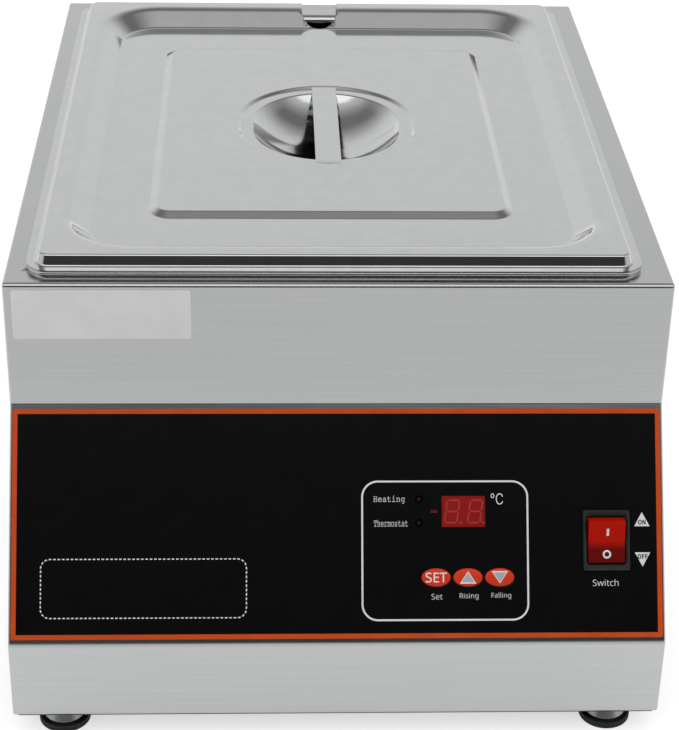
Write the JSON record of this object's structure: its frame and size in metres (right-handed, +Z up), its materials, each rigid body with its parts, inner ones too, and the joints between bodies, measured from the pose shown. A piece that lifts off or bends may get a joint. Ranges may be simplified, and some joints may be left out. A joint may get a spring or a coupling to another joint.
{
  "type": "electric chocolate melting pot",
  "caption": "Tabletop dry-heat melter: a stainless case with a sloping control face, a lift-out food pan in a heated well, and a pressed lid with a sunk handle strap.",
  "frame": {"origin": "bottom centre of the whole object, on the surface that it stands on", "axes": "+X to the right seen from the front, +Y from the control face to the rear, +Z up"},
  "size_m": [0.286, 0.42, 0.2023],
  "materials": {
    "case_steel": "fine horizontal brushing, satin",
    "lid_steel": "pressed and polished sheet",
    "pan_steel": "deep-drawn sheet, satin",
    "well_aluminium": "plain sheet",
    "jacket_steel": "plain zinc-coated sheet",
    "fastener_steel": "bright zinc",
    "foot_steel": "plated cup",
    "foot_rubber": "moulded, matt",
    "mat_silicone": "silicone sheet",
    "blanket_fibre": "glass-fibre felt",
    "terminal_brass": "tinned and plain blades",
    "probe_steel": "drawn tube",
    "cutout_plastic": "moulded phenolic",
    "film_black": "printed polyester film, satin gloss",
    "window_red": "red filter",
    "display_grey": "moulded",
    "key_red": "moulded",
    "lamp_red": "diffuse",
    "board_green": "coated laminate",
    "switch_black": "moulded",
    "rocker_red": "moulded",
    "coil_brown": "varnished core and winding",
    "relay_blue": "moulded",
    "block_white": "moulded",
    "gland_black": "moulded",
    "label_film": "blank silver film"
  },
  "bodies": {
    "case": {"body_wrap": "case_steel", "side_panel_left": "case_steel", "side_panel_right": "case_steel", "rear_panel": "case_steel", "base_plate": "case_steel", "note_label": "label_film", "heater_box": "well_aluminium", "heating_mat": "mat_silicone", "clamp_plate": "well_aluminium", "clamp_nuts": "fastener_steel", "heater_terminals": "terminal_brass", "insulation_blanket": "blanket_fibre", "insulation_jacket": "jacket_steel", "temperature_probe": "probe_steel", "probe_clip": "fastener_steel", "thermal_cutout": "cutout_plastic", "control_overlay": "film_black", "display_window": "window_red", "display_module": "display_grey", "controller_board": "board_green", "tact_switches": "switch_black", "indicator_leds": "lamp_red", "board_transformer": "coil_brown", "board_relay": "relay_blue", "board_connector": "block_white", "board_standoffs": "fastener_steel", "board_nuts": "fastener_steel", "switch_housing": "switch_black", "switch_terminals": "terminal_brass", "terminal_block": "block_white", "earth_stud": "terminal_brass", "cable_gland": "gland_black", "gland_nut": "gland_black", "foot_pad_front_left": "foot_rubber", "foot_pad_front_right": "foot_rubber", "foot_pad_rear_left": "foot_rubber", "foot_pad_rear_right": "foot_rubber", "foot_cup_front_left": "foot_steel", "foot_cup_front_right": "foot_steel", "foot_cup_rear_left": "foot_steel", "foot_cup_rear_right": "foot_steel", "foot_bolts": "fastener_steel", "foot_nuts": "fastener_steel", "base_screws": "fastener_steel", "rear_screws": "fastener_steel"},
    "pan": {"pan": "pan_steel"},
    "lid": {"lid_shell": "lid_steel", "lid_handle": "lid_steel"},
    "rocker": {"switch_rocker": "rocker_red"},
    "set_key": {"set_key": "key_red"},
    "up_key": {"up_key": "key_red"},
    "down_key": {"down_key": "key_red"}
  },
  "joints": [
    {"name": "pan_lift", "type": "slide", "parent": "case", "child": "pan", "axis": [0, 0, 1], "range_m": [0, 0.12]},
    {"name": "lid_lift", "type": "slide", "parent": "pan", "child": "lid", "axis": [0, 0, 1], "range_m": [0, 0.06]},
    {"name": "rocker_tip", "type": "hinge", "parent": "case", "child": "rocker", "pos_m": [0.1172, -0.1836, 0.08537], "axis": [-1, 0, 0], "range_deg": [0, 20]},
    {"name": "set_key_press", "type": "slide", "parent": "case", "child": "set_key", "axis": [0, 0.8261, -0.5635], "range_m": [0, 0.0004], "stiffness_N_per_m": 800, "springref_m": -0.001},
    {"name": "up_key_press", "type": "slide", "parent": "case", "child": "up_key", "axis": [0, 0.8261, -0.5635], "range_m": [0, 0.0004], "stiffness_N_per_m": 800, "springref_m": -0.001},
    {"name": "down_key_press", "type": "slide", "parent": "case", "child": "down_key", "axis": [0, 0.8261, -0.5635], "range_m": [0, 0.0004], "stiffness_N_per_m": 800, "springref_m": -0.001}
  ]
}
